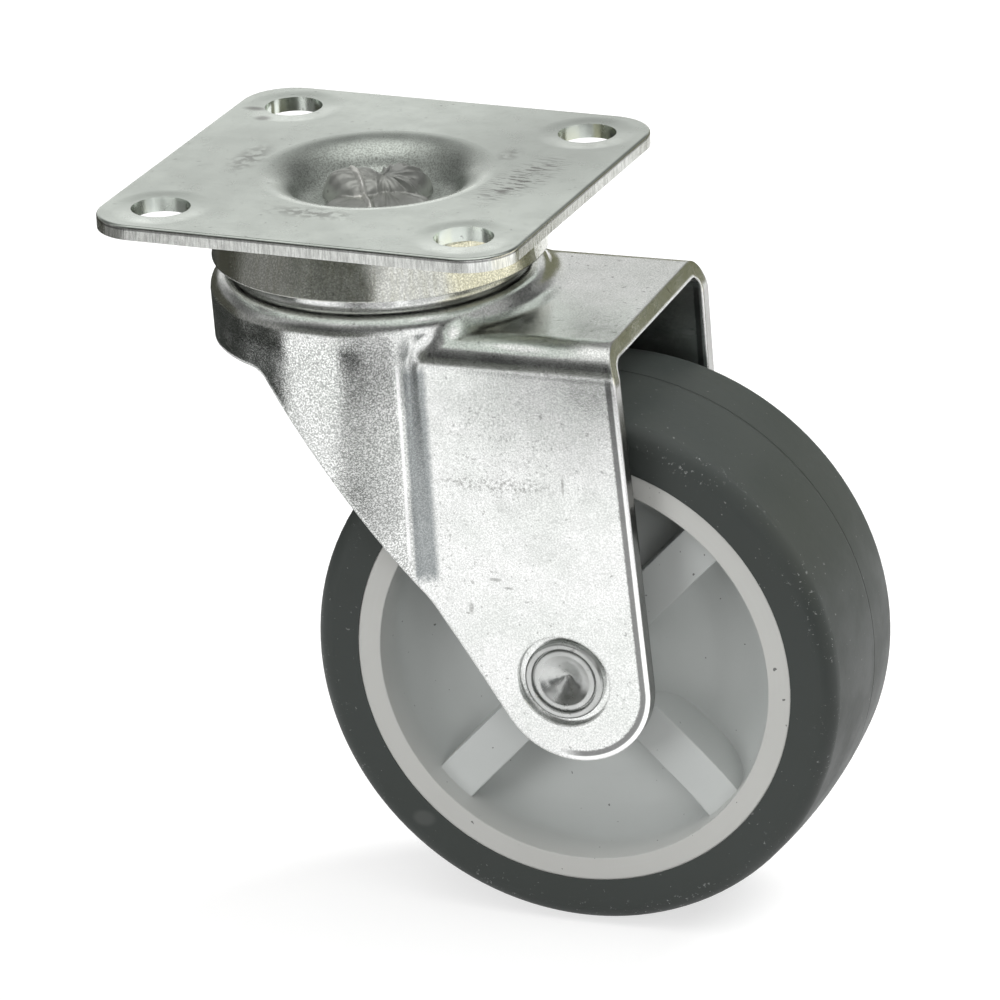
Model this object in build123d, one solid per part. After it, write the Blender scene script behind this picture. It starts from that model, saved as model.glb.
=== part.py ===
from build123d import *
import os
from math import acos, asin, atan2, cos, degrees, hypot, radians, sin, sqrt, tan

# Swivel castor: a square top plate, a pressed steel fork on two rows of balls, and a wheel with a
# rubber tyre on a plastic core.
# Millimetres, +Z up. The origin is the centre of the plate's top face, on the swivel axis.
# The wheel trails towards +X. The fork stands a few degrees off square, as it was found.

# Top plate, pressed down into a dish in the middle
plate_side = 60.0
plate_thickness = 2.0
plate_corner_radius = 7.0
plate_edge_rounding = 0.4
bolt_inset = 8.2
bolt_hole_diameter = 8.0
dish_radius = 16.25
dish_floor_radius = 8.5
dish_depth = 4.5
dish_shoulder_radius = 5.7

# Upper race, a pressed cup under the plate
cup_thickness = 1.8
cup_rim_radius = 22.75
cup_rim_drop = 10.7
cup_flare = 0.9
cup_corner_radius = 3.0
cup_seat_gap = 0.02

# Balls and their grooves
upper_ball_diameter = 5.0
upper_ball_circle_radius = 17.7
upper_ball_count = 21
lower_ball_diameter = 4.5
lower_ball_circle_radius = 12.0
lower_ball_count = 16
ball_clearance = 0.05
groove_depth = 0.5

# Fork, one pressed sheet: a round crown, a flange behind it and two legs that lean in
sheet = 2.2
crown_radius = 23.15
crown_top_drop = 12.8
crown_edge_radius = 2.6
nose_drop = 21.9
flange_top_drop = 15.65
flange_half_width = 20.2
bend_radius = 4.4
step_fillet_radius = 3.0
step_fillet_radius_inside = 2.0
leg_lean = 3.0
crown_lean = 2.2
leg_end_radius = 10.8
leg_end_behind_axle = 1.4
leg_end_below_axle = 0.8
leg_end_front_turn = 31.0
leg_front_bow = 0.65
nose_corner_x = -10.1
nose_corner_radius = 3.0
flange_rear_x = 37.7
rear_corner_x = 39.7
rear_corner_drop = 20.0
rear_corner_radius = 6.0
race_riser_radius = 20.0
race_edge_radius = 0.6
crown_bore_radius = 8.4
crown_floor_drop = 11.3
swivel_at_rest = 3.0

# Kingpin and lower race
kingpin_neck_radius = 4.6
kingpin_shank_radius = 5.9
kingpin_head_radius = 8.0
kingpin_head_height = 3.0
lobe_count = 4
lobe_reach = 9.3
lobe_width = 9.2
lobe_top_drop = 0.9
lobe_overlap = 0.1
lobe_direction = 68.0
lower_race_thickness = 1.8
lower_race_rim_height = 3.0

# Axle
trail = 30.0
axle_drop = 64.3
rivet_radius = 4.0
rivet_head_radius = 5.55
rivet_recess_radius = 6.5
rivet_recess_depth = 1.2
rivet_head_setback = 0.1
rivet_ring_width = 0.9
rivet_ring_chamfer = 0.3
rivet_disc_setback = 0.2
rivet_groove_width = 0.4
rivet_groove_depth = 0.5
rivet_dimple_radius = 3.6
rivet_dimple_depth = 2.2
sleeve_radius = 6.0
fit_clearance = 0.05

# Wheel
tyre_radius = 37.5
tyre_width = 28.0
tyre_depth = 6.8
tyre_crown = 0.55
tyre_shoulder_radius = 2.5
rim_setback = 0.15
rim_lip = 3.15
hub_radius = 10.0
hub_side_gap = 0.35
web_thickness = 4.5
hub_fillet_share = 0.45
rim_fillet_share = 0.42
moulding_draft = 0.7
rib_count = 4
rib_width = 5.9
rib_half_height = 9.85
rib_end_half_height = 11.2
rib_end_slope = 0.35
rib_turn = 46.5

# Worked out from the sizes above
bolt_spacing = plate_side - 2 * bolt_inset
rim_radius = tyre_radius - tyre_depth
rim_width = tyre_width - 2 * rim_setback
lean_slope = tan(radians(leg_lean))
crown_slope = tan(radians(crown_lean))
crown_wall_top_z = -crown_top_drop - crown_edge_radius
crown_ring_radius = (race_riser_radius + crown_radius - crown_edge_radius) / 2
upper_ball_radius = upper_ball_diameter / 2
lower_ball_radius = lower_ball_diameter / 2
cup_roof_z = -(plate_thickness + cup_thickness)
upper_ball_z = cup_roof_z - ball_clearance - upper_ball_radius + groove_depth / 2
bead_top_z = upper_ball_z - upper_ball_radius - ball_clearance + groove_depth
crown_top_z = -crown_top_drop
crown_floor_z = -crown_floor_drop
crown_under_z = crown_floor_z - sheet
lower_ball_z = crown_under_z - lower_ball_radius - ball_clearance + groove_depth
lower_race_z = lower_ball_z - lower_ball_radius - ball_clearance + groove_depth
lower_race_base_z = lower_race_z - groove_depth - lower_race_thickness
dish_floor_z = -dish_depth
kingpin_shoulder_z = dish_floor_z - plate_thickness - cup_thickness
flange_top_z = -flange_top_drop
axle_z = -axle_drop
form_low_z = axle_z - 2 * leg_end_radius
leg_face_y = flange_half_width - (flange_top_z - axle_z) * lean_slope
leg_inner_y = leg_face_y - sheet / cos(radians(leg_lean))
recess_floor_y = leg_face_y - rivet_recess_depth
sleeve_half_length = leg_inner_y - sleeve_radius * lean_slope - fit_clearance
hub_half_length = leg_inner_y - hub_radius * lean_slope - hub_side_gap
AXLE = Location((trail, 0, axle_z))

# How near a point must be to count as lying on a surface
near = 0.05


def turned(edges, axis=Axis.Z):
    """A solid turned about an axis from the edges of a closed half section, drawn in X and Z."""
    return revolve(Plane.XZ * make_face(edges), axis)


def turned_about_axle(points):
    """A solid turned about the axle from points (distance along the axle, radius)."""
    section = make_face(Polyline([(radius, along) for along, radius in points], close=True))
    return AXLE * Rot(X=-90) * revolve(Plane.XZ * section, Axis.Z)


def dish_curve(depth_in_metal):
    """The S-shaped wall of the dish, from its outer edge to its floor, at a depth in the metal."""
    run = dish_radius - dish_floor_radius
    arcs_sum = (run ** 2 + dish_depth ** 2) / (2 * dish_depth)
    slope = degrees(asin(run / arcs_sum))
    shoulder_centre = (dish_radius, -dish_shoulder_radius)
    floor_centre = (dish_floor_radius, arcs_sum - dish_shoulder_radius - dish_depth)
    shoulder = CenterArc(shoulder_centre, dish_shoulder_radius - depth_in_metal, 90, slope)
    foot = CenterArc(floor_centre, arcs_sum - dish_shoulder_radius + depth_in_metal, slope - 90, -slope)
    return shoulder, foot


def dish_solid(depth_in_metal):
    """Everything above the dish's surface at a depth in the metal, up to the level of that surface."""
    shoulder, foot = dish_curve(depth_in_metal)
    top = -depth_in_metal
    floor = dish_floor_z - depth_in_metal
    edges = [shoulder, foot, Line((dish_floor_radius, floor), (0, floor))]
    edges += [Line((0, floor), (0, top)), Line((0, top), (dish_radius, top))]
    return turned(edges)


def top_plate():
    """The square plate with four bolt holes and the dish that the kingpin is riveted in."""
    blank = RectangleRounded(plate_side, plate_side, plate_corner_radius)
    plate = Pos(Z=-plate_thickness) * extrude(blank, plate_thickness)
    rims = plate.edges().filter_by(Plane.XY).group_by(Axis.Z)
    plate = fillet(rims[-1], plate_edge_rounding)
    plate += dish_solid(plate_thickness)
    plate -= dish_solid(0)
    plate -= Pos(Z=dish_floor_z) * Cylinder(kingpin_neck_radius + fit_clearance, 4 * plate_thickness)
    for place in GridLocations(bolt_spacing, bolt_spacing, 2, 2):
        plate -= place * Cylinder(bolt_hole_diameter / 2, 4 * plate_thickness)
    return plate


def race_cup():
    """The upper race: it nests under the dish, and its wall comes down round the upper balls."""
    top = -plate_thickness - cup_seat_gap
    roof = cup_roof_z
    rim = -cup_rim_drop
    wall_top = cup_rim_radius - cup_flare
    corner = wall_top - cup_corner_radius
    inner_corner = roof - top + cup_corner_radius
    bore = kingpin_neck_radius + fit_clearance
    floor = dish_floor_z - plate_thickness - cup_seat_gap
    upper_shoulder, upper_foot = dish_curve(plate_thickness + cup_seat_gap)
    lower_shoulder, lower_foot = dish_curve(plate_thickness + cup_thickness)
    edges = [
        upper_shoulder,
        upper_foot,
        Line((dish_floor_radius, floor), (bore, floor)),
        Line((bore, floor), (bore, kingpin_shoulder_z)),
        Line((bore, kingpin_shoulder_z), (dish_floor_radius, kingpin_shoulder_z)),
        lower_foot,
        lower_shoulder,
        Line((dish_radius, roof), (corner, roof)),
        CenterArc((corner, top - cup_corner_radius), inner_corner, 90, -90),
        Line((corner + inner_corner, top - cup_corner_radius), (cup_rim_radius - cup_thickness, rim)),
        Line((cup_rim_radius - cup_thickness, rim), (cup_rim_radius, rim)),
        Line((cup_rim_radius, rim), (wall_top, top - cup_corner_radius)),
        CenterArc((corner, top - cup_corner_radius), cup_corner_radius, 0, 90),
        Line((corner, top), (dish_radius, top)),
    ]
    cup = turned(edges)
    return cup - groove(upper_ball_circle_radius, upper_ball_z, upper_ball_radius)


def groove(circle_radius, z, ball_radius):
    """The ring that a row of balls sweeps, with its clearance."""
    section = Plane.XZ * Pos(circle_radius, z) * Circle(ball_radius + ball_clearance)
    return revolve(section, Axis.Z)


def write_balls(name, count, circle_radius, z, radius):
    """Write one row of balls, each a piece of its own."""
    for number, place in enumerate(PolarLocations(circle_radius, count)):
        write_part(f"{name}_{number + 1:02d}", Pos(Z=z) * place * Sphere(radius))


def crown_wall(inset, z):
    """The radius of the crown's wall at a height; it leans in towards its foot."""
    return crown_radius - inset - (crown_wall_top_z - z) * crown_slope


def leg_wall(inset, z):
    """Half the width over the legs at a height; they lean in from the flange downwards."""
    return flange_half_width - inset - (flange_top_z - z) * lean_slope


def crown_form(inset):
    """The crown with its nose as a solid form, set in by a depth in the metal."""
    top = crown_top_z - inset
    edge = max(crown_edge_radius - inset, 0.0)
    low = form_low_z
    wall_top = crown_wall(inset, top - edge)
    edges = [
        Line((0, top), (wall_top - edge, top)),
        Line((wall_top, top - edge), (crown_wall(inset, low), low)),
        Line((crown_wall(inset, low), low), (0, low)),
        Line((0, low), (0, top)),
    ]
    if edge > 0:
        edges.append(CenterArc((wall_top - edge, top - edge), edge, 0, 90))
    return turned(edges)


def channel_form(inset):
    """The flange and the two legs as a solid form, set in by a depth in the metal."""
    top = flange_top_z - inset
    low = form_low_z
    low_half = leg_wall(inset, low)
    top_half = leg_wall(inset, top)
    corners = [(-low_half, low), (-top_half, top), (top_half, top), (low_half, low)]
    section = make_face(Polyline(corners, close=True))
    section = fillet(section.vertices().group_by(Axis.Y)[-1], bend_radius - inset)
    return extrude(Plane.YZ * section, 2 * rear_corner_x)


def step_edges(form, inset):
    """The edges along which the crown's wall meets the flange and the legs."""
    found = []
    for edge in form.edges():
        points = [edge.position_at(share) for share in (0, 0.5, 1)]
        on_wall = all(abs(hypot(p.X, p.Y) - crown_wall(inset, p.Z)) < near for p in points)
        below_top = all(p.Z < flange_top_z - inset + near for p in points)
        if on_wall and below_top and edge.geom_type != GeomType.LINE:
            found.append(edge)
    return found


def fork_form(inset, fillet_radius):
    """The whole fork as a solid form, set in by a depth in the metal."""
    form = crown_form(inset) + channel_form(inset)
    return fillet(step_edges(form, inset), fillet_radius)


def side_outline():
    """The fork as seen from the side: crown, nose, the legs' edges and their round ends."""
    end_x, end_z = trail + leg_end_behind_axle, axle_z - leg_end_below_axle
    front = radians(180 + leg_end_front_turn)
    front_foot = (end_x + leg_end_radius * cos(front), end_z + leg_end_radius * sin(front))
    corner = (nose_corner_x, -nose_drop)
    run, fall = front_foot[0] - corner[0], front_foot[1] - corner[1]
    length = hypot(run, fall)
    middle_x = (corner[0] + front_foot[0]) / 2 - leg_front_bow * fall / length
    middle_z = (corner[1] + front_foot[1]) / 2 + leg_front_bow * run / length
    rear_corner = (rear_corner_x, -rear_corner_drop)
    gap_x, gap_z = rear_corner[0] - end_x, rear_corner[1] - end_z
    rear = atan2(gap_z, gap_x) - acos(leg_end_radius / hypot(gap_x, gap_z))
    rear_foot = (end_x + leg_end_radius * cos(rear), end_z + leg_end_radius * sin(rear))
    flange_corner = (flange_rear_x, (flange_top_z + crown_top_z) / 2)
    nose_front = -crown_radius - sheet
    edges = [
        ThreePointArc(corner, (middle_x, middle_z), front_foot),
        CenterArc((end_x, end_z), leg_end_radius, degrees(front), degrees(rear - front) + 360),
        Line(rear_foot, rear_corner),
        Line(rear_corner, flange_corner),
        Line(flange_corner, (flange_rear_x, 0)),
        Line((flange_rear_x, 0), (nose_front, 0)),
        Line((nose_front, 0), (nose_front, -nose_drop)),
        Line((nose_front, -nose_drop), corner),
    ]
    face = make_face(edges)
    corner_vertex = face.vertices().sort_by_distance(Vector(corner[0], corner[1], 0))[0]
    face = fillet(corner_vertex, nose_corner_radius)
    corner_vertex = face.vertices().sort_by_distance(Vector(rear_corner[0], rear_corner[1], 0))[0]
    face = fillet(corner_vertex, rear_corner_radius)
    return extrude(Plane.XZ * face, 2 * crown_radius, both=True)


def race_ring():
    """The middle of the crown: the raised upper race, and the lower race on its underside."""
    riser = race_riser_radius
    ring_inner = 2 * upper_ball_circle_radius - riser
    foot = ring_inner - (bead_top_z - crown_floor_z)
    under_bead_z = bead_top_z - groove_depth - sheet
    slope_start = ring_inner + sheet * (sqrt(2) - 1)
    slope_foot = slope_start - (under_bead_z - crown_under_z)
    points = [
        (crown_bore_radius, crown_floor_z),
        (foot, crown_floor_z),
        (ring_inner, bead_top_z),
        (riser, bead_top_z),
        (riser, crown_top_z),
        (crown_ring_radius, crown_top_z),
        (crown_ring_radius, crown_top_z - sheet),
        (riser - sheet, crown_top_z - sheet),
        (riser - sheet, under_bead_z),
        (slope_start, under_bead_z),
        (slope_foot, crown_under_z),
        (crown_bore_radius, crown_under_z),
    ]
    section = make_face(Polyline(points, close=True))
    soft = [v for v in section.vertices() if abs(v.Y - bead_top_z) < near]
    section = fillet(soft, race_edge_radius)
    ring = revolve(Plane.XZ * section, Axis.Z)
    ring -= groove(upper_ball_circle_radius, upper_ball_z, upper_ball_radius)
    return ring - groove(lower_ball_circle_radius, lower_ball_z, lower_ball_radius)


def fork():
    """The fork, one pressed sheet."""
    shell = fork_form(0, step_fillet_radius) - fork_form(sheet, step_fillet_radius_inside)
    shell = shell & side_outline()
    shell -= Pos(Z=crown_top_z) * Cylinder(crown_ring_radius, 4 * sheet)
    shell += race_ring()
    shell -= AXLE * Rot(X=90) * Cylinder(rivet_radius + fit_clearance, 4 * flange_half_width)
    recess = extrude(Circle(rivet_recess_radius), flange_half_width)
    for side in (-1, 1):
        shell -= AXLE * Pos(Y=side * recess_floor_y) * Rot(X=-90 * side) * recess
    return shell


def kingpin():
    """The kingpin: its head carries the lower race, and its split top end is spread in the dish."""
    head_top = lower_race_base_z
    head_low = head_top - kingpin_head_height
    chamfer_size = kingpin_head_height / 3
    points = [
        (0, head_low),
        (kingpin_head_radius - chamfer_size, head_low),
        (kingpin_head_radius, head_low + chamfer_size),
        (kingpin_head_radius, head_top),
        (kingpin_shank_radius, head_top),
        (kingpin_shank_radius, kingpin_shoulder_z),
        (kingpin_neck_radius, kingpin_shoulder_z),
        (kingpin_neck_radius, dish_floor_z),
        (0, dish_floor_z),
    ]
    pin = revolve(Plane.XZ * make_face(Polyline(points, close=True)), Axis.Z)
    for turn in range(lobe_count):
        pin += Rot(Z=lobe_direction + turn * 360 / lobe_count) * lobe()
    return pin


def lobe():
    """One lobe of the kingpin's split and spread end, on the floor of the dish, towards +X."""
    half_length = lobe_reach / 2 + lobe_overlap
    form = scale(Sphere(1), by=(half_length, lobe_width / 2, dish_depth - lobe_top_drop))
    return Pos(lobe_reach - half_length, 0, dish_floor_z) * form & dish_solid(0)


def lower_race():
    """The lower race, a pressed washer with a raised rim, on the kingpin's head."""
    bore = kingpin_shank_radius + fit_clearance
    inside = lower_ball_circle_radius + lower_ball_radius + 2 * ball_clearance
    outside = inside + lower_race_thickness
    rim_z = lower_race_z + lower_race_rim_height
    points = [
        (bore, lower_race_base_z),
        (outside, lower_race_base_z),
        (outside, rim_z),
        (inside, rim_z),
        (inside, lower_race_z),
        (bore, lower_race_z),
    ]
    section = make_face(Polyline(points, close=True))
    corner = section.vertices().sort_by_distance(Vector(outside, lower_race_base_z, 0))[0]
    section = fillet(corner, lower_race_thickness)
    race = revolve(Plane.XZ * section, Axis.Z)
    return race - groove(lower_ball_circle_radius, lower_ball_z, lower_ball_radius)


def axle_rivet():
    """The axle, a rivet with a ringed, dimpled head in each leg's recess."""
    head_y = leg_face_y - rivet_head_setback
    disc_y = head_y - rivet_disc_setback
    ring_inner = rivet_head_radius - rivet_ring_width
    disc_radius = ring_inner - rivet_groove_width
    half = [
        (disc_y - rivet_dimple_depth, 0),
        (disc_y, rivet_dimple_radius),
        (disc_y, disc_radius),
        (disc_y - rivet_groove_depth, (disc_radius + ring_inner) / 2),
        (head_y, ring_inner),
        (head_y, rivet_head_radius - rivet_ring_chamfer),
        (head_y - rivet_ring_chamfer, rivet_head_radius),
        (recess_floor_y, rivet_head_radius),
        (recess_floor_y, rivet_radius),
    ]
    mirrored = [(-along, radius) for along, radius in reversed(half)]
    return turned_about_axle(half + mirrored)


def axle_sleeve():
    """The steel sleeve that the legs are riveted against, and that the wheel turns on."""
    bore = rivet_radius + fit_clearance
    end = sleeve_half_length
    return turned_about_axle([(-end, bore), (-end, sleeve_radius), (end, sleeve_radius), (end, bore)])


def wheel_core():
    """The plastic core: a rim ring, a dished web and a hub in one, with ribs on both sides."""
    bore = sleeve_radius + fit_clearance
    ring_inner = rim_radius - rim_lip
    face = rim_width / 2
    web = web_thickness / 2
    bowl_width = ring_inner - hub_radius - 1.5 * moulding_draft
    points = [
        (bore, -hub_half_length),
        (bore, hub_half_length),
        (hub_radius, hub_half_length),
        (hub_radius + moulding_draft / 2, web),
        (ring_inner - moulding_draft, web),
        (ring_inner, face),
        (rim_radius, face),
        (rim_radius, -face),
        (ring_inner, -face),
        (ring_inner - moulding_draft, -web),
        (hub_radius + moulding_draft / 2, -web),
        (hub_radius, -hub_half_length),
    ]
    section = make_face(Polyline(points, close=True))
    middle = (hub_radius + ring_inner) / 2
    section = fillet(web_corners(section, 0, middle), hub_fillet_share * bowl_width)
    section = fillet(web_corners(section, middle, rim_radius), rim_fillet_share * bowl_width)
    core = AXLE * Rot(X=-90) * revolve(Plane.XZ * section, Axis.Z)
    for turn in range(rib_count):
        core += AXLE * Rot(Y=-rib_turn - turn * 360 / rib_count) * rib()
    return core


def web_corners(section, near_radius, far_radius):
    """The corners of the core's section where its web meets the hub or the rim."""
    on_web = [v for v in section.vertices() if abs(abs(v.Y) - web_thickness / 2) < near]
    return [v for v in on_web if near_radius < v.X < far_radius]


def rib():
    """One rib through the web, with a slightly dished top on both sides, running along +X."""
    start = hub_radius - moulding_draft
    end = rim_radius - rim_lip / 2
    middle = (start + end) / 2
    corners = [(start, rib_half_height), (middle, rib_half_height), (end, rib_end_half_height)]
    lower = [(along, -height) for along, height in corners]
    edges = [
        Line(corners[0], lower[0]),
        Line(corners[2], lower[2]),
        Spline(corners, tangents=[(1, 0), (1, rib_end_slope)]),
        Spline(lower, tangents=[(1, 0), (1, -rib_end_slope)]),
    ]
    return extrude(make_face(edges), rib_width / 2, both=True)


def tyre():
    """The rubber tyre, moulded on the rim, with a fine parting line on its tread."""
    half_width = tyre_width / 2
    flat = half_width - tyre_shoulder_radius
    tread = tyre_radius - tyre_crown
    edges = [
        ThreePointArc((-flat, tread), (0, tyre_radius), (flat, tread)),
        CenterArc((flat, tread - tyre_shoulder_radius), tyre_shoulder_radius, 0, 90),
        Line((half_width, tread - tyre_shoulder_radius), (half_width, rim_radius)),
        Line((half_width, rim_radius), (-half_width, rim_radius)),
        Line((-half_width, rim_radius), (-half_width, tread - tyre_shoulder_radius)),
        CenterArc((-flat, tread - tyre_shoulder_radius), tyre_shoulder_radius, 90, 90),
    ]
    section = make_face(edges)
    return AXLE * revolve(Plane.YZ * section, Axis.Y)


def write_part(name, solid):
    """Write one piece to its own file."""
    export_step(solid, os.path.join("parts", name + ".step"))


os.makedirs("parts", exist_ok=True)
write_part("top_plate", top_plate())
write_part("race_cup", race_cup())
write_part("kingpin", kingpin())
write_part("lower_race", lower_race())
write_balls("upper_ball", upper_ball_count, upper_ball_circle_radius, upper_ball_z, upper_ball_radius)
write_balls("lower_ball", lower_ball_count, lower_ball_circle_radius, lower_ball_z, lower_ball_radius)
turned_fork = Rot(Z=swivel_at_rest)
write_part("fork", turned_fork * fork())
write_part("axle_rivet", turned_fork * axle_rivet())
write_part("axle_sleeve", turned_fork * axle_sleeve())
write_part("wheel_core", turned_fork * wheel_core())
write_part("tyre", turned_fork * tyre())
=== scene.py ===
import math

import bpy
from mathutils import Matrix, Vector, noise


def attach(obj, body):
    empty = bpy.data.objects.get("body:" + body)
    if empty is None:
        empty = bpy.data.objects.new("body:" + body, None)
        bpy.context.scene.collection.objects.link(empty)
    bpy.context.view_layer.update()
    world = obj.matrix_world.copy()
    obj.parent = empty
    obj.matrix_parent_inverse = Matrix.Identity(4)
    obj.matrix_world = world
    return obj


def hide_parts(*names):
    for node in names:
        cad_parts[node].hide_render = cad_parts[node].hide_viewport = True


# Swivel castor: materials, the kingpin's forged end, surroundings, lamps and camera.
# The scene is in metres, in the frame of the CAD part. The lengths below, and those in the
# materials, are millimetres; MM turns them into metres.

MM = 0.001

# Camera, fitted to the photograph: pixels, degrees and metres
PHOTO_SIZE = 1000
FOCAL_PIXELS = 6983.7
SENSOR_WIDTH = 36.0
CAMERA_AZIMUTH = 23.275
CAMERA_ELEVATION = 21.591
CAMERA_ROLL = -2.532
CAMERA_SHIFT_RIGHT = 0.016597
CAMERA_SHIFT_UP = -0.044335
CAMERA_DISTANCE = 0.93722

# Places on the part that the finish depends on
SWIVEL_AT_REST = math.radians(3)
TRAIL = 30.0
AXLE_Z = -64.3
FLOOR_Z = -101.8
HOLE_FROM_MIDDLE = 21.8
DISH_RADIUS = 15.0
DISH_DEPTH = 4.5
PARTING_LINE = 2.4
TREAD_FROM_RADIUS = 35.0
CORE_RING_FROM_RADIUS = 27.0

# The leg's outline in the fork's own frame: its round end, and how its rear edge leans back upwards
LEG_END_X = 31.4
LEG_END_Z = -65.1
LEG_END_RADIUS = 10.8
LEG_REAR_SLOPE = 0.0556

# The bend between crown and leg, the band of painted shade along the leg's crease, and the painted highlight
# line just in front of it
BEND_FOOT_Z = -21.5
CREASE_SHADE_FRONT_X = 11.0
CREASE_SHADE_REAR_X = 14.0
CREASE_SHADE_FOOT_Z = -50.5
RIDGE_X = 10.65

# The kingpin's four forged lobes, and the torn seam across them
LOBE_DIRECTION = math.radians(68)
LOBE_HEIGHT = 3.75
LOBE_SHARES = (1.0, 0.97, 0.42, 0.50)
LOBE_MIDDLE = 4.0
LOBE_HALF_LENGTH = 5.0
LOBE_HALF_WIDTH = 4.3
LOBES_REACH = 9.6
LOBES_TOP_Z = -0.7
LOBES_FOOT_Z = -DISH_DEPTH - 0.15
WRINKLE_MIDDLE = (0.6, 0.8)
WRINKLE_DEPTH = 0.45
SEAM_START = (-5.8, 4.3)
SEAM_END = (3.9, -8.7)
SEAM_HALF_WIDTH = 0.28
SEAM_RISE = 0.13

# The kingpin below its lobes, as radius and height: neck, body and head
KINGPIN_PROFILE = ((4.6, -DISH_DEPTH), (4.6, -8.28), (5.9, -8.28), (5.9, -19.4), (8.0, -19.4),
                   (8.0, -21.4), (7.0, -22.4), (0.01, -22.4))

# Reflection cards stand on two circles round the castor
CARD_RADIUS = 130
CUP_CARD_RADIUS = 131


def camera_frame():
    """The camera's right, up and back directions."""
    azimuth, elevation, roll = (math.radians(v) for v in (CAMERA_AZIMUTH, CAMERA_ELEVATION, CAMERA_ROLL))
    back = Vector((math.sin(azimuth) * math.cos(elevation), -math.cos(azimuth) * math.cos(elevation),
                   math.sin(elevation)))
    level = Vector((math.cos(azimuth), math.sin(azimuth), 0))
    upright = back.cross(level)
    right = level * math.cos(roll) + upright * math.sin(roll)
    up = upright * math.cos(roll) - level * math.sin(roll)
    return right, up, back


def add_camera():
    """The camera at the photograph's place and angle."""
    right, up, back = camera_frame()
    data = bpy.data.cameras.new("camera")
    data.sensor_width = SENSOR_WIDTH
    data.lens = FOCAL_PIXELS / PHOTO_SIZE * SENSOR_WIDTH
    data.clip_start = 0.01
    data.clip_end = 50.0
    camera = bpy.data.objects.new("camera", data)
    bpy.context.scene.collection.objects.link(camera)
    place = right * CAMERA_SHIFT_RIGHT + up * CAMERA_SHIFT_UP + back * CAMERA_DISTANCE
    camera.matrix_world = Matrix((
        (right.x, up.x, back.x, place.x),
        (right.y, up.y, back.y, place.y),
        (right.z, up.z, back.z, place.z),
        (0, 0, 0, 1),
    ))
    bpy.context.scene.camera = camera


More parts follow.
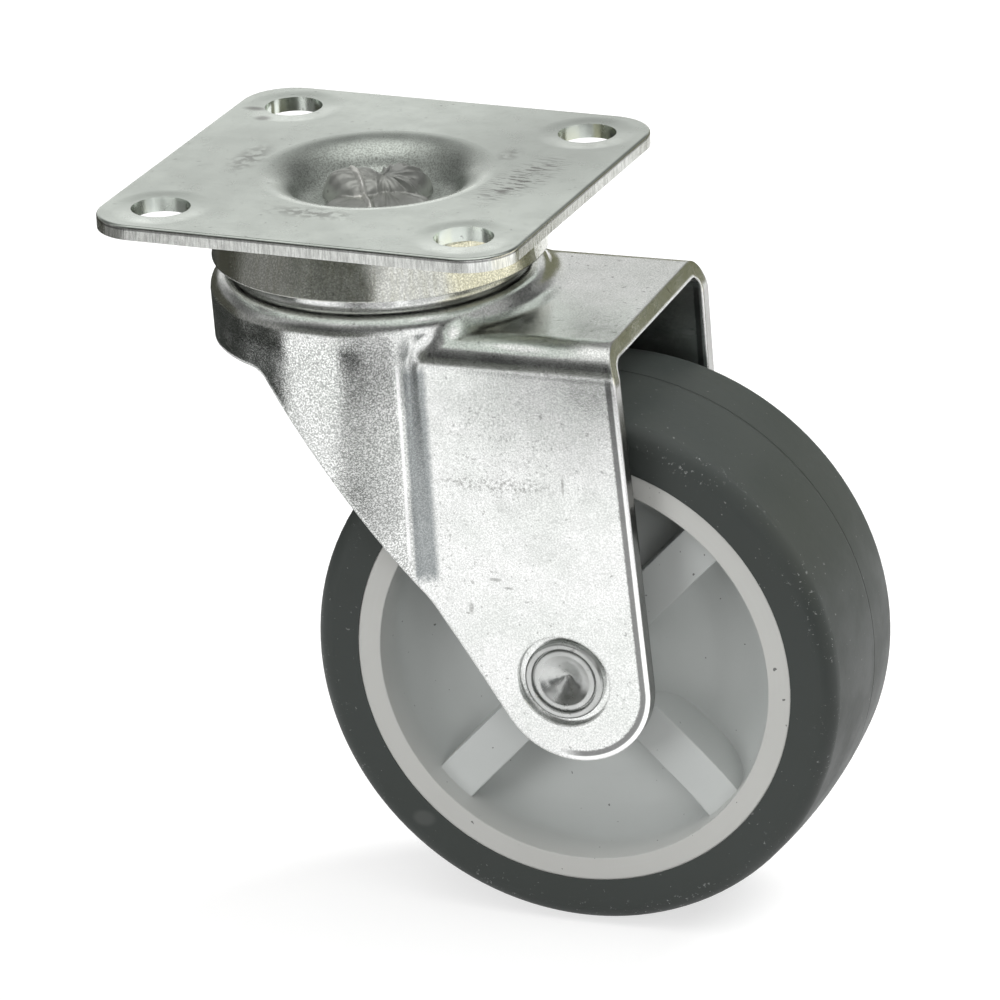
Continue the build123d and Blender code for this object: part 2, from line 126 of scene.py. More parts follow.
class Paint:
    """One material's nodes. Its coordinates are millimetres in the part's frame at rest."""

    def __init__(self, name, **settings):
        self.material = bpy.data.materials.new(name)
        self.material.use_nodes = True
        self.nodes = self.material.node_tree.nodes
        self.links = self.material.node_tree.links
        self.shader = self.nodes["Principled BSDF"]
        for socket, value in settings.items():
            self.shader.inputs[socket.replace("_", " ")].default_value = value
        coordinates = self.nodes.new("ShaderNodeTexCoord")
        self.place = self.vector("SCALE", coordinates.outputs["Object"], scale=1 / MM)

    def feed(self, socket, value):
        """Link a socket, or set its value."""
        if isinstance(value, bpy.types.NodeSocket):
            self.links.new(value, socket)
        else:
            socket.default_value = value

    def vector(self, operation, first, second=(0, 0, 0), scale=1.0):
        """The outcome of a vector operation."""
        node = self.nodes.new("ShaderNodeVectorMath")
        node.operation = operation
        self.feed(node.inputs[0], first)
        if operation == "SCALE":
            self.feed(node.inputs["Scale"], scale)
        else:
            self.feed(node.inputs[1], second)
        return node.outputs["Value" if operation in ("LENGTH", "DOT_PRODUCT") else "Vector"]

    def math(self, operation, first, second=0.0):
        """The outcome of an operation on numbers."""
        node = self.nodes.new("ShaderNodeMath")
        node.operation = operation
        self.feed(node.inputs[0], first)
        self.feed(node.inputs[1], second)
        return node.outputs["Value"]

    def noise(self, size, place=None, detail=2.0, roughness=0.5):
        """Smooth noise from 0 to 1 with features of a size in millimetres."""
        node = self.nodes.new("ShaderNodeTexNoise")
        node.inputs["Scale"].default_value = 1 / size
        node.inputs["Detail"].default_value = detail
        node.inputs["Roughness"].default_value = roughness
        self.feed(node.inputs["Vector"], self.place if place is None else place)
        return node.outputs["Fac"]

    def step(self, value, low, high, out_low=0.0, out_high=1.0):
        """A smooth step of a value between two limits."""
        node = self.nodes.new("ShaderNodeMapRange")
        node.interpolation_type = "SMOOTHSTEP"
        limits = {"From Min": low, "From Max": high, "To Min": out_low, "To Max": out_high}
        for socket, number in limits.items():
            node.inputs[socket].default_value = number
        self.feed(node.inputs["Value"], value)
        return node.outputs["Result"]

    def blend(self, factor, first, second):
        """A colour between two colours."""
        node = self.nodes.new("ShaderNodeMix")
        node.data_type = "RGBA"
        sockets = [s for s in node.inputs if s.enabled]
        self.feed(sockets[0], factor)
        for socket, value in zip(sockets[1:3], (first, second)):
            if isinstance(value, bpy.types.NodeSocket):
                self.links.new(value, socket)
            else:
                socket.default_value = (*value, 1)
        return [s for s in node.outputs if s.enabled][0]

    def spot(self, centre, radii, soft=0.4, turn=0.0):
        """1 inside an ellipsoid with soft edges, 0 outside it. Millimetres."""
        moved = self.vector("SUBTRACT", self.place, centre)
        if turn:
            moved = self.turned(moved, -turn)
        reach = self.vector("LENGTH", self.vector("DIVIDE", moved, radii))
        return self.step(reach, 1 - soft, 1 + soft, 1.0, 0.0)

    def turned(self, vector, angle):
        """A vector turned about Z."""
        node = self.nodes.new("ShaderNodeVectorRotate")
        node.rotation_type = "Z_AXIS"
        node.inputs["Angle"].default_value = angle
        self.feed(node.inputs["Vector"], vector)
        return node.outputs["Vector"]

    def split(self, vector):
        """The three parts of a vector."""
        node = self.nodes.new("ShaderNodeSeparateXYZ")
        self.feed(node.inputs["Vector"], vector)
        return node.outputs["X"], node.outputs["Y"], node.outputs["Z"]

    def distance(self, first, second):
        """The length of a flat step with two parts."""
        squares = self.math("ADD", self.math("MULTIPLY", first, first), self.math("MULTIPLY", second, second))
        return self.math("SQRT", squares)

    def bump(self, height, depth_mm):
        """Relief of a depth in millimetres, added to what is there."""
        node = self.nodes.new("ShaderNodeBump")
        node.inputs["Strength"].default_value = 1.0
        node.inputs["Distance"].default_value = depth_mm * MM
        self.feed(node.inputs["Height"], height)
        normal = self.shader.inputs["Normal"]
        if normal.is_linked:
            self.links.new(normal.links[0].from_socket, node.inputs["Normal"])
        self.links.new(node.outputs["Normal"], normal)

    def round_edges(self, radius_mm):
        """Sharp edges catch the light as if rounded by a radius in millimetres."""
        node = self.nodes.new("ShaderNodeBevel")
        node.samples = 6
        node.inputs["Radius"].default_value = radius_mm * MM
        self.links.new(node.outputs["Normal"], self.shader.inputs["Normal"])

    def line(self, start, end, width):
        """1 on a straight line seen along Z, 0 beside it. Millimetres."""
        dx, dy = end[0] - start[0], end[1] - start[1]
        length = math.hypot(dx, dy)
        ahead, aside = (dx / length, dy / length, 0), (-dy / length, dx / length, 0)
        middle = ((start[0] + end[0]) / 2, (start[1] + end[1]) / 2, 0)
        offset = self.vector("SUBTRACT", self.place, middle)
        across = self.math("ABSOLUTE", self.vector("DOT_PRODUCT", offset, aside))
        along = self.math("ABSOLUTE", self.vector("DOT_PRODUCT", offset, ahead))
        return self.math("MULTIPLY", self.step(across, 0.5 * width, width, 1.0, 0.0),
                         self.step(along, 0.5 * length - width, 0.5 * length, 1.0, 0.0))

    def colour(self, value):
        """Set the shader's colour."""
        self.feed(self.shader.inputs["Base Color"], value)

    def rough(self, value):
        """Set the shader's roughness."""
        self.feed(self.shader.inputs["Roughness"], value)


def stretched(paint, scale, turn=0.0):
    """The part's coordinates, turned about Z and stretched, for marks with a direction."""
    node = paint.nodes.new("ShaderNodeMapping")
    node.inputs["Rotation"].default_value = (0, 0, turn)
    node.inputs["Scale"].default_value = scale
    paint.feed(node.inputs["Vector"], paint.place)
    return node.outputs["Vector"]


def zinc(name, pale, dark, roughness, grain, grain_depth, edge=0.25):
    """Plated steel: mottled, finely grained, with small dark flecks. Gives back its nodes and its colour."""
    paint = Paint(name, Metallic=1.0)
    if edge:
        paint.round_edges(edge)
    mottle = paint.noise(9.0, detail=4.0, roughness=0.6)
    base = paint.blend(paint.step(mottle, 0.35, 0.65), dark, pale)
    flecks = paint.step(paint.noise(0.9, detail=3.0, roughness=0.6), 0.64, 0.72)
    base = paint.blend(paint.math("MULTIPLY", flecks, 0.55), base, (0.16, 0.16, 0.15))
    paint.roughness = paint.step(paint.noise(4.0, detail=3.0), 0.3, 0.7, roughness - 0.04, roughness + 0.06)
    paint.rough(paint.roughness)
    paint.bump(paint.noise(grain, detail=2.0, roughness=0.65), grain_depth)
    return paint, base


def plate_finish():
    """The plate's zinc: pale and worn, with scratches, stains and a striated sheared edge."""
    paint, base = zinc("plate_zinc", (0.72, 0.77, 0.72), (0.63, 0.675, 0.63), 0.22, 0.9, 0.005, edge=0.0)
    # Two broad areas of the top are made darker.
    darker_areas = (((20, 16, 0), (14, 18, 3), 0.8), ((-19, -3, 0), (11, 20, 3), 0.4))
    for centre, radii, depth in darker_areas:
        dull = paint.math("MULTIPLY", paint.spot(centre, radii, soft=0.9), depth)
        base = paint.blend(dull, base, (0.42, 0.45, 0.42))
    strokes = paint.noise(1.0, stretched(paint, (0.35, 2.2, 1), 0.5), detail=3.0, roughness=0.7)
    cluster = paint.spot((20.4, 1.6, 0), (3.0, 8.2, 4), soft=0.6, turn=math.radians(-10))
    scratches = paint.math("MULTIPLY", paint.step(strokes, 0.50, 0.60), cluster)
    base = paint.blend(scratches, base, (0.12, 0.12, 0.11))
    stains = (((19.9, -3.9, 0), (0.8, 0.7, 2)), ((-26.6, 19.4, 0), (1.4, 0.7, 2)),
              ((-23.8, 15.9, 0), (1.0, 0.8, 2)))
    for centre, radii in stains:
        stain = paint.math("MULTIPLY", paint.spot(centre, radii, soft=0.7), 0.75)
        base = paint.blend(stain, base, (0.14, 0.14, 0.13))
    rubbed_areas = (((-18.5, -0.1, 0), (1.8, 4.4, 2)), ((-1.5, -18.6, 0), (4.8, 1.6, 2)),
                    ((15.1, 10.5, 0), (1.2, 2.0, 2)))
    for centre, radii in rubbed_areas:
        broken = paint.step(paint.noise(1.4, detail=3.0), 0.40, 0.58)
        patch = paint.math("MULTIPLY", paint.spot(centre, radii, soft=0.8), broken)
        base = paint.blend(paint.math("MULTIPLY", patch, 0.75), base, (0.22, 0.23, 0.21))
    holes = None
    for x, y in ((1, 1), (1, -1), (-1, 1), (-1, -1)):
        hole = (HOLE_FROM_MIDDLE * x, HOLE_FROM_MIDDLE * y, 0)
        reach = paint.vector("LENGTH", paint.vector("SUBTRACT", paint.place, hole))
        dip = paint.step(reach, 3.6, 7.0, 1.0, 0.0)
        holes = dip if holes is None else paint.math("MAXIMUM", holes, dip)
    paint.bump(holes, -0.22)
    dish = paint.spot((0, 0, -3), (DISH_RADIUS, DISH_RADIUS, 9), soft=0.15)
    grain = paint.noise(0.24, detail=2.0, roughness=0.7)
    dark_grain = paint.math("MULTIPLY", paint.step(grain, 0.40, 0.58, 1.0, 0.0), dish)
    base = paint.blend(paint.math("MULTIPLY", dark_grain, 0.60), base, (0.26, 0.27, 0.25))
    paint.rough(paint.math("ADD", paint.roughness, paint.math("MULTIPLY", dish, 0.16)))
    geometry = paint.nodes.new("ShaderNodeNewGeometry")
    upright = paint.math("ABSOLUTE", paint.split(geometry.outputs["Normal"])[2])
    sheared = paint.step(upright, 0.25, 0.55, 1.0, 0.0)
    x, y, z = paint.split(paint.place)
    off_middle = paint.math("MAXIMUM", paint.math("ABSOLUTE", x), paint.math("ABSOLUTE", y))
    outside = paint.step(off_middle, 27.6, 28.2)
    sheared = paint.math("MULTIPLY", sheared, outside)
    striae = paint.noise(0.22, stretched(paint, (1, 1, 0.10)), detail=2.0)
    edge = paint.blend(paint.step(striae, 0.35, 0.65), (0.56, 0.57, 0.55), (0.76, 0.77, 0.75))
    base = paint.blend(sheared, base, edge)
    # A thin dark line runs round the sheared edge just below its top.
    off_edge_line = paint.math("ABSOLUTE", paint.math("ADD", z, 0.5))
    seam = paint.math("MULTIPLY", paint.step(off_edge_line, 0.06, 0.2, 1.0, 0.0), outside)
    base = paint.blend(paint.math("MULTIPLY", seam, 0.7), base, (0.10, 0.10, 0.10))
    paint.bump(paint.math("MULTIPLY", striae, sheared), 0.015)
    paint.colour(base)
    return paint.material


def turned_with_fork(paint):
    """The three coordinates in the fork's own frame, in millimetres."""
    return paint.split(paint.turned(paint.place, -SWIVEL_AT_REST))


def under_bend(paint, z, low, high):
    """1 on the legs, 0 above their bend, between two heights over the bend's foot."""
    return paint.step(z, BEND_FOOT_Z + low, BEND_FOOT_Z + high, 1.0, 0.0)


def leg_edge_painted_light(paint, base, grain):
    """Painted light on the rounded rear edge of each leg: a dark band of painted shade, a white painted
    highlight line at the edge, and painted shade on the sheared face.
    """
    x, y, z = turned_with_fork(paint)
    above = paint.math("SUBTRACT", z, LEG_END_Z)
    lean = paint.math("MULTIPLY", paint.math("MAXIMUM", above, 0.0), LEG_REAR_SLOPE)
    across = paint.math("SUBTRACT", x, paint.math("SUBTRACT", LEG_END_X, lean))
    below = paint.math("MINIMUM", above, 0.0)
    inside = paint.math("SUBTRACT", LEG_END_RADIUS, paint.distance(across, below))
    legs = paint.math("MULTIPLY", paint.step(across, -3.0, 1.0), under_bend(paint, z, 0.5, 3.0))
    ragged = paint.math("ADD", inside, paint.math("MULTIPLY", grain, 0.35))
    # Painted shade: a dark band just inside the edge.
    edge_shade_band = paint.math("MULTIPLY", paint.step(inside, 0.55, 0.75), paint.step(ragged, 1.45, 1.75, 1.0, 0.0))
    edge_shade_band = paint.math("MULTIPLY", paint.math("MULTIPLY", edge_shade_band, legs), 0.85)
    base = paint.blend(edge_shade_band, base, (0.13, 0.13, 0.13))
    # Painted highlight: a white line along the edge.
    edge_highlight = paint.math("MULTIPLY", paint.step(inside, 0.50, 0.65, 1.0, 0.0), legs)
    base = paint.blend(edge_highlight, base, (1.0, 1.0, 1.0))
    normal = paint.nodes.new("ShaderNodeNewGeometry").outputs["Normal"]
    sideways = paint.math("ABSOLUTE", paint.split(normal)[1])
    # Painted shade on the sheared face of the edge.
    cut_face_shade = paint.math("MULTIPLY", paint.step(sideways, 0.35, 0.55, 1.0, 0.0), edge_highlight)
    return paint.blend(paint.math("MULTIPLY", cut_face_shade, 0.8), base, (0.22, 0.22, 0.21))


def fork_finish():
    """The fork's zinc: grainy, a little wavy where the sheet was drawn, with dark specks; painted shade along
    the near leg's crease with a painted highlight line in front of it, and painted light along the legs' rear
    edges.
    """
    paint, base = zinc("fork_zinc", (0.86, 0.87, 0.86), (0.78, 0.80, 0.78), 0.20, 0.30, 0.006, edge=0.6)
    specks = paint.step(paint.noise(0.55, detail=4.0, roughness=0.7), 0.62, 0.72)
    base = paint.blend(paint.math("MULTIPLY", specks, 0.45), base, (0.12, 0.12, 0.12))
    fine = paint.noise(0.42, detail=3.0, roughness=0.7)
    speck_groups = (((24, -18, -31), (9, 6, 8), 0.56), ((23, -18, -36.2), (7.5, 6, 0.9), 0.47),
                    ((14.5, -18, -45), (2.5, 6, 9), 0.56))
    for centre, radii, low in speck_groups:
        group = paint.math("MULTIPLY", paint.spot(centre, radii, soft=0.5), paint.step(fine, low, low + 0.08))
        base = paint.blend(paint.math("MULTIPLY", group, 0.5), base, (0.20, 0.20, 0.19))
    nicks = (((22.1, -17.3, -50.1), (0.8, 3, 0.25)), ((23.9, -17.3, -51.2), (0.6, 3, 0.18)),
             ((18.5, -17.2, -54.6), (0.3, 3, 0.75)), ((32.5, -17.5, -35.5), (0.18, 3, 1.3)))
    for centre, radii in nicks:
        nick = paint.math("MULTIPLY", paint.spot(centre, radii, soft=0.6), 0.6)
        base = paint.blend(nick, base, (0.22, 0.22, 0.21))
    x, y, z = paint.split(paint.place)
    angle = paint.math("ARCTAN2", y, x)
    waves = paint.nodes.new("ShaderNodeCombineXYZ")
    paint.feed(waves.inputs["X"], paint.math("MULTIPLY", angle, 21.0))
    paint.feed(waves.inputs["Y"], paint.math("MULTIPLY", z, 0.35))
    drawn = paint.noise(6.5, waves.outputs["Vector"], detail=0.0)
    front = paint.math("MULTIPLY", paint.step(z, -18.5, -13.5, 1.0, 0.0), paint.step(x, 9.5, 12.5, 1.0, 0.0))
    paint.bump(paint.math("MULTIPLY", drawn, front), 0.6)
    grain = paint.noise(0.22, detail=2.0, roughness=0.7)
    rough_part = paint.step(front, 0.0, 1.0, 0.40, 1.0)
    dark_grain = paint.math("MULTIPLY", paint.step(grain, 0.42, 0.58, 1.0, 0.0), rough_part)
    pale_grain = paint.math("MULTIPLY", paint.step(grain, 0.52, 0.68), rough_part)
    base = paint.blend(paint.math("MULTIPLY", dark_grain, 0.72), base, (0.24, 0.25, 0.24))
    base = paint.blend(paint.math("MULTIPLY", pale_grain, 0.8), base, (0.97, 0.97, 0.97))
    # Painted shade: a dark band along the near leg's crease, below the bend and above its foot.
    near_side = paint.math("MULTIPLY", paint.step(y, -15.0, -14.0, 1.0, 0.0), under_bend(paint, z, 0.0, 2.7))
    ragged = paint.math("ADD", x, paint.math("MULTIPLY", fine, 0.9))
    crease = paint.math("MULTIPLY", paint.step(x, CREASE_SHADE_FRONT_X, CREASE_SHADE_FRONT_X + 0.5),
                        paint.step(ragged, CREASE_SHADE_REAR_X, CREASE_SHADE_REAR_X + 1.1, 1.0, 0.0))
    ragged_z = paint.math("ADD", z, paint.math("MULTIPLY", fine, 3.0))
    crease = paint.math("MULTIPLY", paint.math("MULTIPLY", crease, near_side),
                        paint.step(ragged_z, CREASE_SHADE_FOOT_Z, CREASE_SHADE_FOOT_Z + 2.0))
    crease = paint.math("MULTIPLY", crease, paint.step(grain, 0.35, 0.65, 0.90, 0.70))
    base = paint.blend(crease, base, (0.20, 0.22, 0.225))
    # Painted highlight: a thin white line just in front of the crease, on the near leg.
    ridge_highlight = paint.step(paint.math("ABSOLUTE", paint.math("SUBTRACT", x, RIDGE_X)), 0.10, 0.30, 1.0, 0.0)
    above_foot = paint.step(z, CREASE_SHADE_FOOT_Z + 1.5, CREASE_SHADE_FOOT_Z + 4.5)
    ridge_highlight = paint.math("MULTIPLY", ridge_highlight, paint.math("MULTIPLY", near_side, above_foot))
    base = paint.blend(paint.math("MULTIPLY", ridge_highlight, 0.9), base, (1.0, 1.0, 1.0))
    # Painted light along the legs' rear edges.
    base = leg_edge_painted_light(paint, base, grain)
    paint.bump(paint.math("MULTIPLY", grain, front), 0.012)
    paint.bump(grain, 0.004)
    paint.colour(base)
    return paint.material


def race_finish():
    """The races' zinc: satin, with faint upright streaks."""
    paint, base = zinc("race_zinc", (0.74, 0.75, 0.71), (0.64, 0.65, 0.60), 0.22, 0.45, 0.010)
    streaks = paint.noise(0.6, stretched(paint, (1, 1, 0.1)), detail=2.0)
    base = paint.blend(paint.step(streaks, 0.4, 0.7, 0.0, 0.35), base, (0.50, 0.50, 0.40))
    grain = paint.noise(0.24, detail=2.0, roughness=0.7)
    base = paint.blend(paint.step(grain, 0.42, 0.60, 0.4, 0.0), base, (0.22, 0.22, 0.21))
    base = paint.blend(paint.step(grain, 0.54, 0.70, 0.0, 0.4), base, (0.95, 0.95, 0.93))
    paint.colour(base)
    return paint.material


def pin_finish():
    """The kingpin's forged end: dull and wrinkled, with pale lines painted along its raised torn seam and two
    short wrinkles as highlights.
    """
    paint, base = zinc("pin_steel", (0.56, 0.57, 0.54), (0.44, 0.45, 0.43), 0.48, 0.4, 0.015)
    paint.bump(paint.noise(1.4, detail=2.0, roughness=0.5), 0.05)
    # Painted highlights: pale lines along the raised torn seam and two short wrinkles.
    torn_line_highlights = ((SEAM_START, SEAM_END, 0.5), ((-8.9, 1.2), (-6.7, 1.9), 0.45),
                  ((-2.6, -2.6), (-1.0, -2.3), 0.4))
    for start, end, width in torn_line_highlights:
        base = paint.blend(paint.math("MULTIPLY", paint.line(start, end, width), 0.9), base, (0.92, 0.92, 0.88))
    paint.colour(base)
    return paint.material


def rivet_finish():
    """The axle's head: dull steel, upset and slightly torn in its middle."""
    paint, base = zinc("rivet_steel", (0.58, 0.59, 0.58), (0.44, 0.45, 0.44), 0.28, 0.5, 0.008, edge=0.3)
    middle = paint.step(axle_radius(paint), 2.2, 3.2, 1.0, 0.0)
    paint.bump(paint.math("MULTIPLY", paint.noise(1.6, detail=1.0), middle), 0.12)
    paint.colour(base)
    return paint.material


def steel_finish(name, colour, roughness):
    """Smooth steel with slight wear."""
    paint = Paint(name, Metallic=1.0)
    wear = paint.noise(2.5, detail=3.0)
    paint.colour(paint.blend(wear, colour, tuple(0.85 * c for c in colour)))
    paint.rough(paint.step(wear, 0.3, 0.7, roughness, roughness + 0.08))
    return paint.material


def axle_radius(paint):
    """The distance from the axle's line, in millimetres."""
    x, y, z = turned_with_fork(paint)
    return paint.distance(paint.math("SUBTRACT", x, TRAIL), paint.math("SUBTRACT", z, AXLE_Z))


def along_axle(paint):
    """The distance along the axle from the wheel's middle, in millimetres."""
    return turned_with_fork(paint)[1]


def core_finish():
    """The wheel core's grey plastic: satin, with faint turning marks and a few dark specks; its dished web
    painted a little paler than its ring, a painted lift against the shade there.
    """
    paint = Paint("core_plastic", Specular_IOR_Level=0.45)
    paint.round_edges(0.35)
    radius = axle_radius(paint)
    cloud = paint.noise(14.0, detail=3.0)
    # Painted light: the dished web is the same plastic as the ring, painted a little paler to lift its shade.
    bowl_painted_paler = paint.blend(cloud, (0.505, 0.525, 0.515), (0.560, 0.580, 0.570))
    ring = paint.blend(cloud, (0.500, 0.502, 0.482), (0.540, 0.542, 0.520))
    base = paint.blend(paint.step(radius, CORE_RING_FROM_RADIUS, CORE_RING_FROM_RADIUS + 0.8), bowl_painted_paler, ring)
    rings = paint.nodes.new("ShaderNodeCombineXYZ")
    paint.feed(rings.inputs["X"], radius)
    marks = paint.noise(0.5, rings.outputs["Vector"], detail=3.0)
    patchy = paint.step(paint.noise(11.0, detail=1.0), 0.45, 0.65)
    marked = paint.math("MULTIPLY", paint.step(marks, 0.45, 0.65), paint.math("MULTIPLY", patchy, 0.18))
    base = paint.blend(marked, base, (0.55, 0.56, 0.55))
    specks = paint.step(paint.noise(0.8, detail=1.0), 0.775, 0.79)
    base = paint.blend(paint.math("MULTIPLY", specks, 0.8), base, (0.05, 0.05, 0.05))
    paint.colour(base)
    paint.rough(paint.step(paint.noise(5.0, detail=2.0), 0.3, 0.7, 0.40, 0.50))
    paint.bump(paint.noise(0.5, detail=2.0), 0.008)
    return paint.material


def tyre_finish():
    """Dark grey rubber: matt, with pale dust on its shoulders and a fine parting line."""
    paint = Paint("tyre_rubber", Specular_IOR_Level=0.35)
    cloud = paint.noise(10.0, detail=4.0, roughness=0.6)
    base = paint.blend(cloud, (0.030, 0.036, 0.034), (0.044, 0.049, 0.045))
    radius = axle_radius(paint)
    along = along_axle(paint)
    off_line = paint.math("ABSOLUTE", paint.math("SUBTRACT", along, PARTING_LINE))
    tread = paint.step(radius, TREAD_FROM_RADIUS, TREAD_FROM_RADIUS + 1.0)
    line = paint.math("MULTIPLY", paint.step(off_line, 0.08, 0.26, 1.0, 0.0), tread)
    base = paint.blend(paint.math("MULTIPLY", line, 0.55), base, (0.012, 0.014, 0.013))
    shoulder = paint.math("MULTIPLY", paint.step(radius, 33.0, 35.5),
                          paint.step(paint.math("ABSOLUTE", along), 10.5, 12.5))
    dust = paint.math("MULTIPLY", paint.step(paint.noise(0.7, detail=4.0, roughness=0.75), 0.60, 0.72),
                      paint.step(paint.noise(8.0, detail=1.0), 0.42, 0.60))
    dust = paint.math("MULTIPLY", paint.math("MULTIPLY", dust, shoulder), 0.70)
    base = paint.blend(dust, base, (0.42, 0.43, 0.42))
    gate = paint.spot((8.4, -13.6, -88.4), (1.5, 2.0, 1.1), soft=0.35)
    base = paint.blend(paint.math("MULTIPLY", gate, 0.5), base, (0.10, 0.105, 0.10))
    stray = paint.step(paint.noise(0.6, detail=2.0), 0.72, 0.76)
    base = paint.blend(paint.math("MULTIPLY", stray, 0.4), base, (0.30, 0.30, 0.29))
    paint.colour(base)
    paint.rough(paint.step(cloud, 0.3, 0.7, 0.46, 0.60))
    paint.bump(paint.math("MULTIPLY", line, -1.0), 0.12)
    paint.bump(paint.noise(0.6, detail=3.0), 0.012)
    return paint.material


def lobe_height(x, y, turn):
    """The height of one forged lobe, from 0 to 1: a leaf with a flat top and steep sides."""
    along = x * math.cos(turn) + y * math.sin(turn)
    across = y * math.cos(turn) - x * math.sin(turn)
    share = math.hypot((along - LOBE_MIDDLE) / LOBE_HALF_LENGTH, across / LOBE_HALF_WIDTH)
    return (1 - share ** 4) ** 0.6 if share < 1 else 0.0


def forged_height(x, y):
    """The height of the kingpin's forged end at a place, from 0 to about 1, with wrinkles and seam."""
    heights = [share * lobe_height(x, y, LOBE_DIRECTION + lobe * math.pi / 2)
               for lobe, share in enumerate(LOBE_SHARES)]
    top = max(heights)
    if top <= 0:
        return top
    place = Vector((x, y, 0))
    radius = place.length
    fan = math.atan2(y - WRINKLE_MIDDLE[1], x - WRINKLE_MIDDLE[0])
    wrinkle = abs(noise.noise(Vector((fan * 3.4, radius * 0.12, 3.0))))
    wrinkle *= 1.0 if heights[0] == top else 0.5
    rough = noise.noise(place * 0.28) * 0.12 + noise.noise(place * 1.2) * 0.03
    top = max(0.02, top * (1 + rough) - wrinkle * WRINKLE_DEPTH * min(1.0, radius / 3))
    seam = Vector(SEAM_END) - Vector(SEAM_START)
    offset = place.xy - Vector(SEAM_START)
    along = offset.dot(seam) / seam.length
    across = abs(offset.x * seam.y - offset.y * seam.x) / seam.length
    if 0 < along < seam.length:
        top += SEAM_RISE * math.exp(-(across / SEAM_HALF_WIDTH) ** 2)
    return top


def ring_points(radius, z, count):
    """Points round a circle about the swivel axis."""
    angles = [2 * math.pi * step / count for step in range(count)]
    return [(radius * math.cos(angle), radius * math.sin(angle), z) for angle in angles]


def ring_faces(first, rings, count):
    """Faces between rings of points that follow each other."""
    faces = []
    for ring in range(rings):
        for step in range(count):
            a, b = first + ring * count + step, first + ring * count + (step + 1) % count
            faces.append((a, a + count, b + count, b))
    return faces


def add_kingpin():
    """The kingpin with its split and spread end: four wrinkled lobes and a raised torn seam."""
    count, rings, sides = 288, 80, 96
    points = []
    for ring in range(rings + 1):
        for x, y, level in ring_points(LOBES_REACH * ring / rings, LOBES_FOOT_Z, count):
            z = level + LOBE_HEIGHT * min(forged_height(x, y), 1.0)
            points.append((x, y, min(z, LOBES_TOP_Z)))
    faces = ring_faces(0, rings, count) + ring_faces(len(points), len(KINGPIN_PROFILE) - 1, sides)
    for radius, z in KINGPIN_PROFILE:
        points += ring_points(radius, z, sides)
    return add_mesh("kingpin_end", points, faces, smooth=True)


def add_mesh(name, points_mm, faces, smooth=False):
    """A mesh piece from points in millimetres."""
    mesh = bpy.data.meshes.new(name)
    mesh.from_pydata([tuple(c * MM for c in point) for point in points_mm], [], faces)
    mesh.update()
    if smooth:
        mesh.polygons.foreach_set("use_smooth", [True] * len(mesh.polygons))
    piece = bpy.data.objects.new(name, mesh)
    bpy.context.scene.collection.objects.link(piece)
    return piece


def add_lamp(name, place, size, energy, aim=(0.02, 0, -0.05)):
    """A soft round lamp that isn't seen in reflections: metres and watts."""
    data = bpy.data.lights.new(name, "AREA")
    data.shape = "DISK"
    data.size = size
    data.energy = energy
    lamp = bpy.data.objects.new(name, data)
    lamp.location = place
    lamp.rotation_euler = (Vector(aim) - Vector(place)).to_track_quat("-Z", "Y").to_euler()
    lamp.visible_glossy = False
    bpy.context.scene.collection.objects.link(lamp)
    return lamp


def add_floor():
    """A pale round floor that keeps the castor's shadow."""
    mesh = bpy.data.meshes.new("floor")
    count = 96
    mesh.from_pydata(ring_points(4.0, FLOOR_Z * MM, count), [], [tuple(range(count))])
    floor = bpy.data.objects.new("floor", mesh)
    bpy.context.scene.collection.objects.link(floor)
    material = bpy.data.materials.new("floor_white")
    material.use_nodes = True
    nodes, links = material.node_tree.nodes, material.node_tree.links
    shader = nodes["Principled BSDF"]
    shader.inputs["Base Color"].default_value = (0.42, 0.42, 0.42, 1)
    shader.inputs["Roughness"].default_value = 0.9
    shader.inputs["Specular IOR Level"].default_value = 0.0
    paths = nodes.new("ShaderNodeLightPath")
    seen = nodes.new("ShaderNodeMath")
    seen.operation = "MAXIMUM"
    links.new(paths.outputs["Is Camera Ray"], seen.inputs[0])
    links.new(paths.outputs["Is Glossy Ray"], seen.inputs[1])
    seen_through = nodes.new("ShaderNodeMath")
    seen_through.operation = "MAXIMUM"
    links.new(seen.outputs["Value"], seen_through.inputs[0])
    links.new(paths.outputs["Is Transmission Ray"], seen_through.inputs[1])
    glow = nodes.new("ShaderNodeMath")
    glow.operation = "MULTIPLY"
    glow.inputs[1].default_value = 0.66
    links.new(seen_through.outputs["Value"], glow.inputs[0])
    shader.inputs["Emission Color"].default_value = (1, 1, 1, 1)
    links.new(glow.outputs["Value"], shader.inputs["Emission Strength"])
    mesh.materials.append(material)


def add_card(name, start, end, low, high, shade, radius=CUP_CARD_RADIUS):
    """A curved card beside the set, seen only in reflections: degrees from the camera's side,
    and millimetres of height."""
    steps = 24
    points, faces = [], []
    for step in range(steps + 1):
        angle = math.radians(CAMERA_AZIMUTH - 90 + start + (end - start) * step / steps)
        for z in (low, high):
            points.append((radius * math.cos(angle), radius * math.sin(angle), z))
    for step in range(steps):
        faces.append((2 * step, 2 * step + 1, 2 * step + 3, 2 * step + 2))
    card = add_mesh(name, points, faces)
    material = bpy.data.materials.new(name)
    material.use_nodes = True
    shader = material.node_tree.nodes["Principled BSDF"]
    shader.inputs["Base Color"].default_value = (0, 0, 0, 1)
    shader.inputs["Roughness"].default_value = 1.0
    shader.inputs["Specular IOR Level"].default_value = 0.0
    shader.inputs["Emission Color"].default_value = (*shade, 1)
    shader.inputs["Emission Strength"].default_value = 1.0
    card.data.materials.append(material)
    for ray in ("camera", "diffuse", "shadow", "transmission"):
        setattr(card, "visible_" + ray, False)
    return card


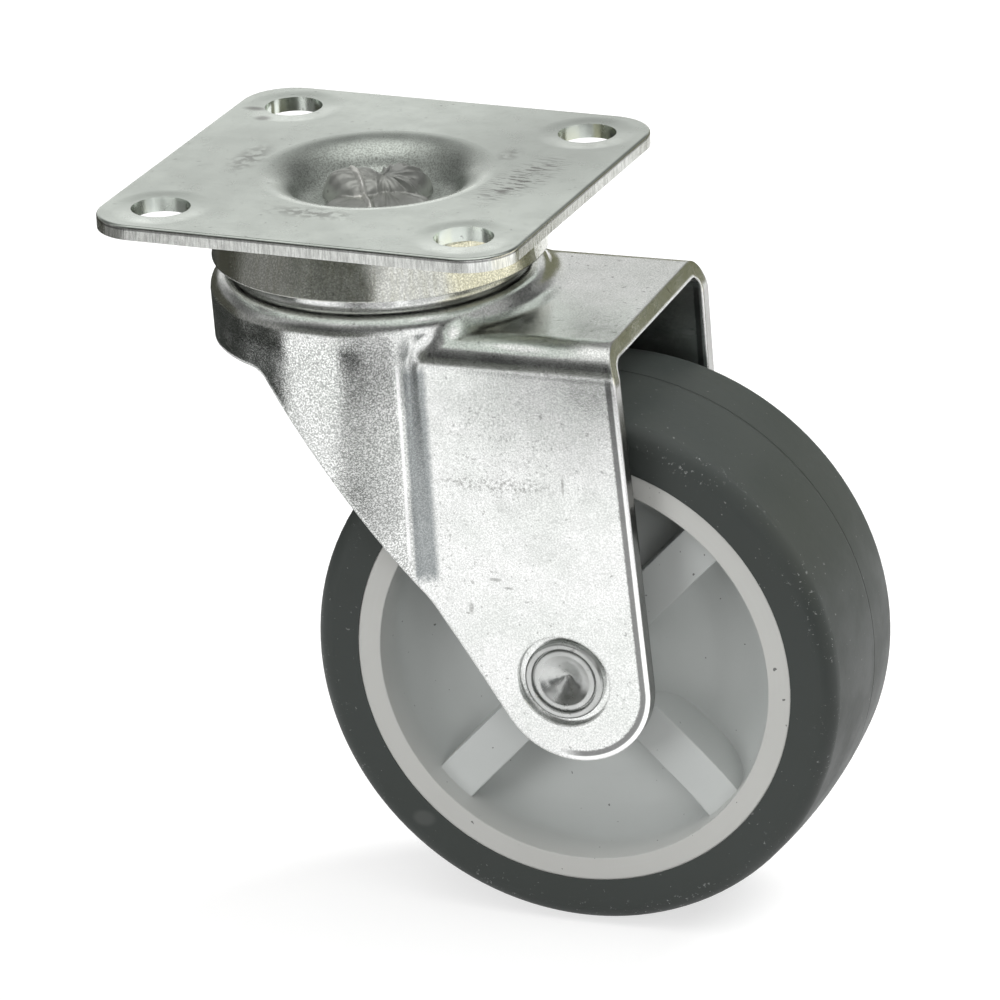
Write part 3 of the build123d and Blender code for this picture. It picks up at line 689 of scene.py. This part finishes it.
def add_world():
    """Studio surroundings: pale low behind the set, darker above that and aside, and bright overhead."""
    world = bpy.data.worlds.new("studio")
    bpy.context.scene.world = world
    world.use_nodes = True
    nodes, links = world.node_tree.nodes, world.node_tree.links
    coordinates = nodes.new("ShaderNodeTexCoord")
    behind = nodes.new("ShaderNodeVectorMath")
    behind.operation = "DOT_PRODUCT"
    azimuth = math.radians(CAMERA_AZIMUTH)
    behind.inputs[1].default_value = (-math.sin(azimuth), math.cos(azimuth), 0)
    parts = nodes.new("ShaderNodeSeparateXYZ")
    rise = nodes.new("ShaderNodeMath")
    rise.operation = "ARCTAN2"
    ramp = nodes.new("ShaderNodeValToRGB")
    share = nodes.new("ShaderNodeMath")
    share.operation = "DIVIDE"
    share.inputs[1].default_value = math.pi
    links.new(coordinates.outputs["Generated"], behind.inputs[0])
    links.new(coordinates.outputs["Generated"], parts.inputs["Vector"])
    links.new(parts.outputs["Z"], rise.inputs[0])
    links.new(behind.outputs["Value"], rise.inputs[1])
    links.new(rise.outputs["Value"], share.inputs[0])
    links.new(share.outputs["Value"], ramp.inputs["Fac"])
    # degrees up from the level behind the set, over the top to the camera's side, and the light there
    stops = ((0, 1.60), (8, 1.25), (17, 0.78), (27, 0.70), (38, 0.34), (62, 0.30), (76, 1.00), (88, 1.22),
             (116, 1.22), (130, 0.35), (146, 0.14), (180, 0.14))
    elements = ramp.color_ramp.elements
    while len(elements) < len(stops):
        elements.new(0.5)
    for element, (angle, level) in zip(elements, stops):
        element.position = angle / 180
        element.color = (level, level, 0.985 * level, 1)
    links.new(ramp.outputs["Color"], nodes["Background"].inputs["Color"])
    aside = nodes.new("ShaderNodeVectorMath")
    aside.operation = "DOT_PRODUCT"
    aside.inputs[1].default_value = (math.cos(azimuth), math.sin(azimuth), 0)
    links.new(coordinates.outputs["Generated"], aside.inputs[0])
    size = nodes.new("ShaderNodeMath")
    size.operation = "ABSOLUTE"
    links.new(aside.outputs["Value"], size.inputs[0])
    dim = nodes.new("ShaderNodeMapRange")
    dim.interpolation_type = "SMOOTHSTEP"
    for socket, number in {"From Min": 0.32, "From Max": 0.62, "To Min": 1.0, "To Max": 0.36}.items():
        dim.inputs[socket].default_value = number
    links.new(size.outputs["Value"], dim.inputs["Value"])
    links.new(dim.outputs["Result"], nodes["Background"].inputs["Strength"])


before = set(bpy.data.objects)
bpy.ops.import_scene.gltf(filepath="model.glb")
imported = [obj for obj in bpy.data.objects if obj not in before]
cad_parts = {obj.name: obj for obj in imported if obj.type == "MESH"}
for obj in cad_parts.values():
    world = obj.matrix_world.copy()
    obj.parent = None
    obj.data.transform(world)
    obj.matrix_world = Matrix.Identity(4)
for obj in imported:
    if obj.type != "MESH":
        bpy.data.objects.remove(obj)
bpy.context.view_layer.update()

finishes = {
    "plate_zinc": plate_finish(),
    "race_zinc": race_finish(),
    "pin_steel": pin_finish(),
    "fork_zinc": fork_finish(),
    "rivet_steel": rivet_finish(),
    "sleeve_steel": steel_finish("sleeve_steel", (0.55, 0.55, 0.54), 0.3),
    "ball_steel": steel_finish("ball_steel", (0.70, 0.70, 0.70), 0.12),
    "core_plastic": core_finish(),
    "tyre_rubber": tyre_finish(),
}
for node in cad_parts.values():
    for material_slot in node.material_slots:
        material_slot.material = finishes[material_slot.material.name.split(".")[0]]
kingpin = add_kingpin()
kingpin.data.materials.append(finishes["pin_steel"])
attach(kingpin, "plate")
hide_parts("kingpin")

add_floor()
add_world()
add_lamp("overhead", (0.12, -0.28, 0.85), 1.2, 3.5)
add_lamp("behind", (0.45, 0.50, 0.55), 0.5, 7.5, aim=(0.03, 0, -0.05))
add_lamp("front", (-0.42, -0.85, 0.22), 0.5, 3.6)
add_lamp("fill", (0.58, -0.78, 0.26), 0.4, 1.7)
add_card("nose_dark", -180, -63, -84, -42, (0.045, 0.048, 0.044), CARD_RADIUS)
add_card("wall_valley", -28, -11, -84, -46, (0.05, 0.052, 0.05), CARD_RADIUS)
add_card("wall_bulge", -11, 10, -84, -46, (0.50, 0.50, 0.50), CARD_RADIUS)
add_card("crease", 18, 46, -90, -52, (0.13, 0.14, 0.14), CARD_RADIUS)
add_card("cup_left", -180, -102, -42, 8, (0.07, 0.07, 0.055))
add_card("cup_grey", -102, -60, -42, 8, (0.27, 0.27, 0.26))
add_card("cup_dark", -60, -4, -34, 8, (0.14, 0.145, 0.13))
add_card("cup_bright", -4, 42, -34, 8, (1.1, 1.1, 1.1))
add_card("cup_warm", 42, 98, -34, 8, (1.30, 1.24, 0.98))
add_card("cup_olive", 98, 120, -60, 8, (0.20, 0.20, 0.13))
add_card("cup_end", 120, 180, -34, 8, (0.20, 0.20, 0.13))
add_camera()
bpy.context.scene.view_settings.view_transform = "Standard"
